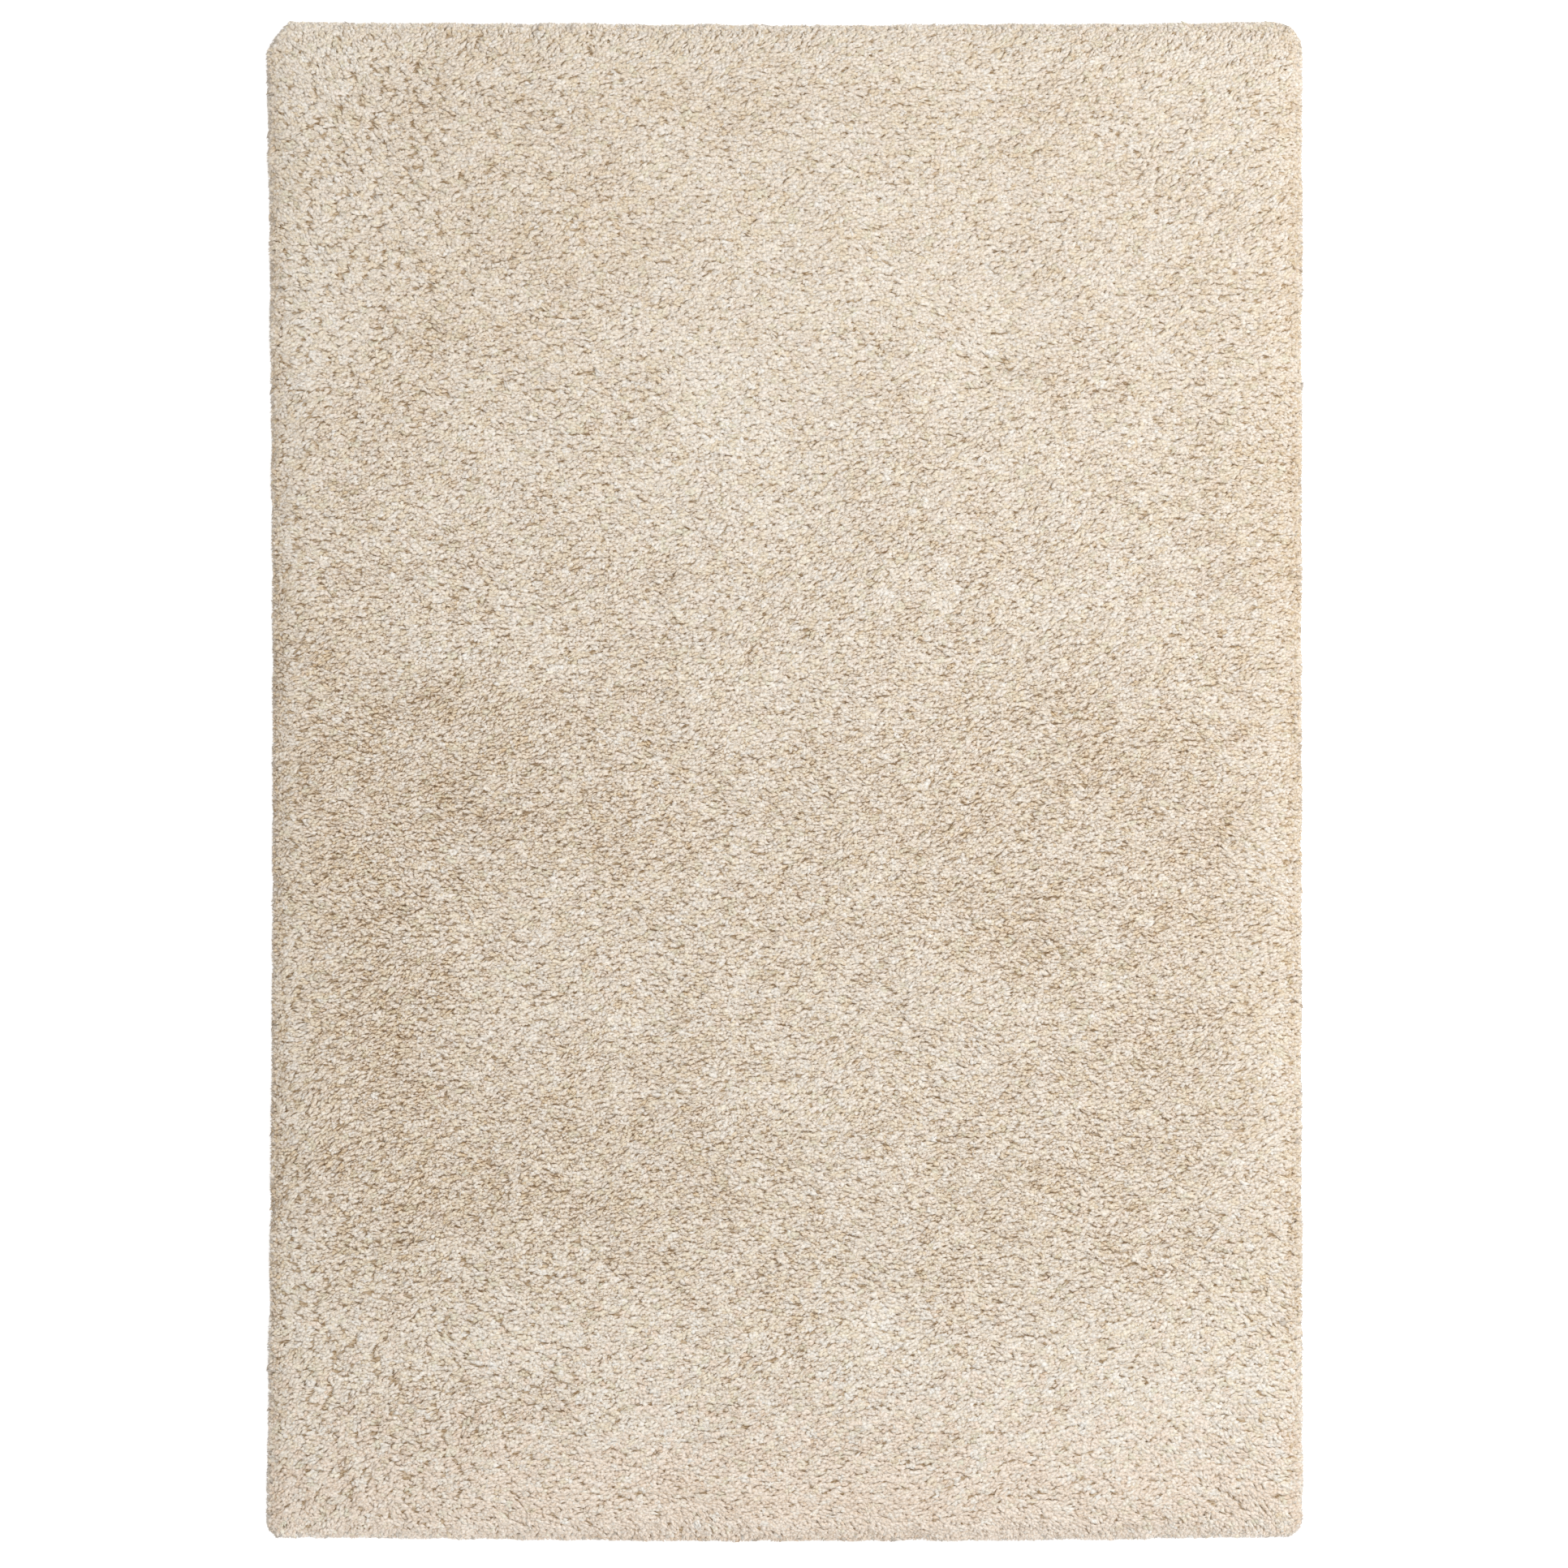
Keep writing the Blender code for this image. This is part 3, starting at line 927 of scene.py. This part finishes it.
def make_locks(heads, heading, reach, strands, head, width, edge_shade, droop=0.0):
    """Locks with their heads at these places, which lean along these arrows. reach is how far
    each head is from its root, strands how many a lock has, head the radius of a head, width
    half a strand's width, crease how much of the shade along its edges it has and droop how much
    lower than the pile it hangs. Returns the arrays that strand_mesh takes."""
    locks, count = len(heads), len(heads) * strands
    beside = np.stack([-heading[:, 1], heading[:, 0]], 1)
    crisp = 1 + blended(heads, CRISPNESS, "more")
    # painted light and shade: the patches make a lock paler or browner
    paler = patch_tone(heads)
    lock_tint = lock_tints(heads)
    lock_tone = PLAIN_TONE + paler + crisp * varied(locks, LOCK_TONES_VARY)
    lift = varied(locks, LIFTS_VARY)

    off, forward, sideways = spread_tips(head * (1 + OPENS_UP * paler), strands)
    splay = varied((locks, strands), SPLAY)
    back = reach[:, None] * np.cos(splay) - ROOT_SPREAD * forward
    aside = ROOT_SPREAD * sideways - reach[:, None] * np.sin(splay)

    def moved(ahead, to_side):
        offset = heading[:, None] * ahead[..., None] + beside[:, None] * to_side[..., None]
        return (heads[:, None] + offset).reshape(count, 2)

    tip, root = moved(forward, sideways), moved(-back, aside)
    root_inside, outward = from_outline(root)
    root -= np.maximum(ROOT_INSET - root_inside, 0)[:, None] * outward
    bend = root + (tip - root) * BEND_RUN
    half_way = (root + 2 * bend + tip) / 4
    tip_height, bend_height = set_heights(
        tip, half_way, off.ravel(), np.repeat(lift, strands), droop
    )
    return {
        "root": np.column_stack([root, np.full(count, CLOTH_THICKNESS / 2)]),
        "bend": np.column_stack([bend, bend_height]),
        "tip": np.column_stack([tip, tip_height]),
        "width": np.repeat(width, strands) * (1 + varied(count, WIDTHS_VARY)),
        "edge_shade": np.repeat(edge_shade * crisp, strands),
        "roll": varied(count, ROLLS_VARY),
        "tint": np.repeat(lock_tint, strands),
        "tone": np.repeat(lock_tone, strands)
        + np.repeat(crisp, strands) * varied(count, STRAND_TONES_VARY),
    }


# %% [markdown]
# The heads are placed one in each cell of a staggered grid and a little off its middle, because a
# plain random scatter leaves holes. Strands are a little slimmer towards the rim, where the edge of
# the rug draws the eye to them, and have fainter painted shade along their edges there.

# %% Plant the pile
HEAD_PITCH = 0.0082
HEAD_JITTER = 0.22  # share of the pitch
HEAD_RADIUS = 0.0050
STRANDS_IN_LOCK = 5
PILE_INSET = 0.0085
PILE_RUN = 0.027  # from a lock's root to its head
PILE_RUNS_VARY = 0.12
PILE_TURN = math.radians(12)  # how much each lock turns from the lean
SLIM_REACH = 0.12  # strands nearer the rim than this are slimmer
STRAND_WIDTHS = (0.0025, 0.0033)  # half a strand's width at the rim and in the middle
# how strong the painted shade along the strands' edges is
EDGE_SHADE_STRENGTHS = (0.84, 1.0)  # at the rim and in the middle


def plant_pile():
    """The locks inside the rim."""
    across, along = np.meshgrid(
        np.arange(cad_low.x, cad_high.x, HEAD_PITCH),
        np.arange(cad_low.y, cad_high.y, HEAD_PITCH * math.sqrt(3) / 2),
    )
    across[::2] += HEAD_PITCH / 2
    heads = np.stack([across.ravel(), along.ravel()], 1)
    heads += chance.uniform(-HEAD_JITTER, HEAD_JITTER, heads.shape) * HEAD_PITCH
    heads = heads[from_outline(heads)[0] > PILE_INSET]
    azimuth = lean_azimuth(heads) + varied(len(heads), PILE_TURN)
    heading = np.stack([np.cos(azimuth), np.sin(azimuth)], 1)
    reach = PILE_RUN * (1 + varied(len(heads), PILE_RUNS_VARY))
    from_rim = from_outline(heads)[0] / SLIM_REACH
    width = np.interp(from_rim, (0, 1), STRAND_WIDTHS)
    edge_shade = np.interp(from_rim, (0, 1), EDGE_SHADE_STRENGTHS)
    return make_locks(
        heads, heading, reach, STRANDS_IN_LOCK, head=HEAD_RADIUS, width=width, edge_shade=edge_shade
    )


pile = plant_pile()
print("strands in the pile:", len(pile["tip"]))

# %% [markdown]
# At the rim the yarns have no neighbours outside them to lean on. They fall outwards over the
# cloth's edge, close beside each other and cut off even. They are planted in rows that follow the
# outline, each strand a lock of its own. The outer rows droop, and the lowest one hangs under the
# others down to the floor, so that no cloth shows from the side.

# %% Plant the rim
# Each row by how far its tips are inside the outline, how far apart they stand, how much they
# turn from straight outwards and how far they droop
RIM_ROWS = (
    {"inset": 0.0034, "pitch": 0.0025, "turn": math.radians(8), "droop": 0.0130},
    {"inset": 0.0001, "pitch": 0.0019, "turn": math.radians(9), "droop": 0.0025},
    {"inset": 0.0006, "pitch": 0.0022, "turn": math.radians(16), "droop": 0.0012},
    {"inset": 0.0026, "pitch": 0.0028, "turn": math.radians(24), "droop": 0.0},
    {"inset": 0.0052, "pitch": 0.0030, "turn": math.radians(28), "droop": 0.0},
    {"inset": 0.0085, "pitch": 0.0034, "turn": math.radians(30), "droop": 0.0},
)
ROW_JITTER = 0.0008  # along the rim, as a share of half the rug's side
CUTS_VARY = 0.0002  # how even the tips are cut
RIM_RUN = 0.026
RIM_RUNS_VARY = 0.1
RIM_HEAD = 0.0003
RIM_WIDTH = 0.0028


def plant_rim_row(inset, pitch, turn, droop):
    """Single strands side by side all round the rim."""
    steps = [np.linspace(-1, 1, round(2 * half / pitch)) for half in half_size]
    ends = [np.stack([steps[0], np.full(len(steps[0]), side)], 1) for side in (-1.0, 1.0)]
    sides = [np.stack([np.full(len(steps[1]), side), steps[1]], 1) for side in (-1.0, 1.0)]
    square = np.concatenate(ends + sides)
    along_rim = np.sign(1 - np.abs(square))
    square += along_rim * varied(square.shape, ROW_JITTER)
    heads = outline_place(square, inset)
    outward = from_outline(heads)[1]
    heads += outward * varied((len(heads), 1), CUTS_VARY)
    azimuth = np.arctan2(outward[:, 1], outward[:, 0]) + varied(len(heads), turn)
    heading = np.stack([np.cos(azimuth), np.sin(azimuth)], 1)
    reach = RIM_RUN * (1 + varied(len(heads), RIM_RUNS_VARY))
    width = np.full(len(heads), RIM_WIDTH)
    edge_shade = np.full(len(heads), EDGE_SHADE_STRENGTHS[0])
    return make_locks(
        heads, heading, reach, 1, head=RIM_HEAD, width=width, edge_shade=edge_shade, droop=droop
    )


rim_rows = [plant_rim_row(**row) for row in RIM_ROWS]
rim = {key: np.concatenate([row[key] for row in rim_rows]) for key in rim_rows[0]}
print("strands at the rim:", len(rim["tip"]))

# %% [markdown]
# The pile is split into long strips, so that no mesh is too heavy to handle. Each strip is a
# piece of its own that rides with the rug.

# %% Make the pile's pieces
STRIPS = 6


def chosen(strands, which):
    """The strands that which is true for."""
    return {key: rows[which] for key, rows in strands.items()}


strip_edges = np.quantile(pile["tip"][:, 0], np.linspace(0, 1, STRIPS + 1))
strip_of = np.clip(np.searchsorted(strip_edges, pile["tip"][:, 0]) - 1, 0, STRIPS - 1)
for number in range(STRIPS):
    name = f"pile_strip_{number + 1}"
    mesh = strand_mesh(name, chosen(pile, strip_of == number))
    finish_piece(name, mesh, yarn)
    print(name, len(mesh.polygons), "faces")
finish_piece("rim_strands", strand_mesh("rim_strands", rim), yarn)

# %% [markdown]
# The ground cloth is what was cut to size, and the pile goes with it.

# %% [markdown]
# ## Floor, light and camera
#
# The rug was photographed from straight above on white, in broad soft light with a softbox up and
# to the right of it. The floor is white paper, and a faint glow of its own keeps it as bright as
# the photograph's ground.

# %% Floor
FLOOR_SIZE = 12.0
PAPER_WHITE = 0.93
PAPER_GLOW = 0.30

floor_mesh = bmesh.new()
bmesh.ops.create_grid(floor_mesh, x_segments=1, y_segments=1, size=FLOOR_SIZE / 2)
floor_data = bpy.data.meshes.new("floor")
floor_mesh.to_mesh(floor_data)
floor_mesh.free()
paper, tree, shader = new_material("white paper", roughness=0.9)
shader.inputs["Base Color"].default_value = (PAPER_WHITE, PAPER_WHITE, PAPER_WHITE, 1.0)
shader.inputs["Emission Color"].default_value = (1.0, 1.0, 1.0, 1.0)
shader.inputs["Emission Strength"].default_value = PAPER_GLOW
floor_data.materials.append(paper)
floor = bpy.data.objects.new("floor", floor_data)
bpy.context.scene.collection.objects.link(floor)
print("floor:", FLOOR_SIZE, "m wide")

# %% [markdown]
# A white world gives the broad light. One large area lamp on the right gives the rest, and
# because it stands near, the right side of the rug comes out a little lighter than the left.

# %% Light
WORLD_STRENGTH = 1.00
LAMP_PLACE = Vector((2.6, 0.5, 2.4))
LAMP_SIZE = 1.8
LAMP_POWER = 42.0

world = bpy.data.worlds.new("studio")
world.use_nodes = True
background = world.node_tree.nodes["Background"]
background.inputs["Color"].default_value = (1.0, 1.0, 1.0, 1.0)
background.inputs["Strength"].default_value = WORLD_STRENGTH
bpy.context.scene.world = world

lamp_data = bpy.data.lights.new("softbox", "AREA")
lamp_data.size = LAMP_SIZE
lamp_data.energy = LAMP_POWER
lamp = bpy.data.objects.new("softbox", lamp_data)
lamp.location = LAMP_PLACE
lamp.rotation_euler = LAMP_PLACE.to_track_quat("Z", "Y").to_euler()
lamp.visible_camera = False
bpy.context.scene.collection.objects.link(lamp)
print("lamp to the middle of the rug:", round(LAMP_PLACE.length, 2), "m")

# %% [markdown]
# The camera looks straight down through a long lens, so the pile's height hardly spreads its
# outline. Its distance follows from the rug's width in the photograph, measured at the tips of
# the rim.

# %% Camera
PHOTO_PIXELS = 1932
RUG_PIXELS_WIDE = 1280
RUG_MIDDLE_ABOVE_PHOTO_MIDDLE = 3.5  # in pixels
RIM_TIP_HEIGHT = 0.005  # the width is measured there
LENS = 85.0

camera_data = bpy.data.cameras.new("camera")
camera_data.lens = LENS
rug_width = cad_high.x - cad_low.x
metres_per_pixel = rug_width / RUG_PIXELS_WIDE
view_width = PHOTO_PIXELS * metres_per_pixel
distance = view_width * LENS / camera_data.sensor_width
camera_y = -RUG_MIDDLE_ABOVE_PHOTO_MIDDLE * metres_per_pixel
camera = bpy.data.objects.new("camera", camera_data)
camera.location = (0.0, camera_y, RIM_TIP_HEIGHT + distance)
bpy.context.scene.collection.objects.link(camera)
bpy.context.scene.camera = camera
bpy.context.scene.view_settings.view_transform = "Standard"
print("camera", round(distance, 2), "m over the pile, seeing", round(view_width, 3), "m")
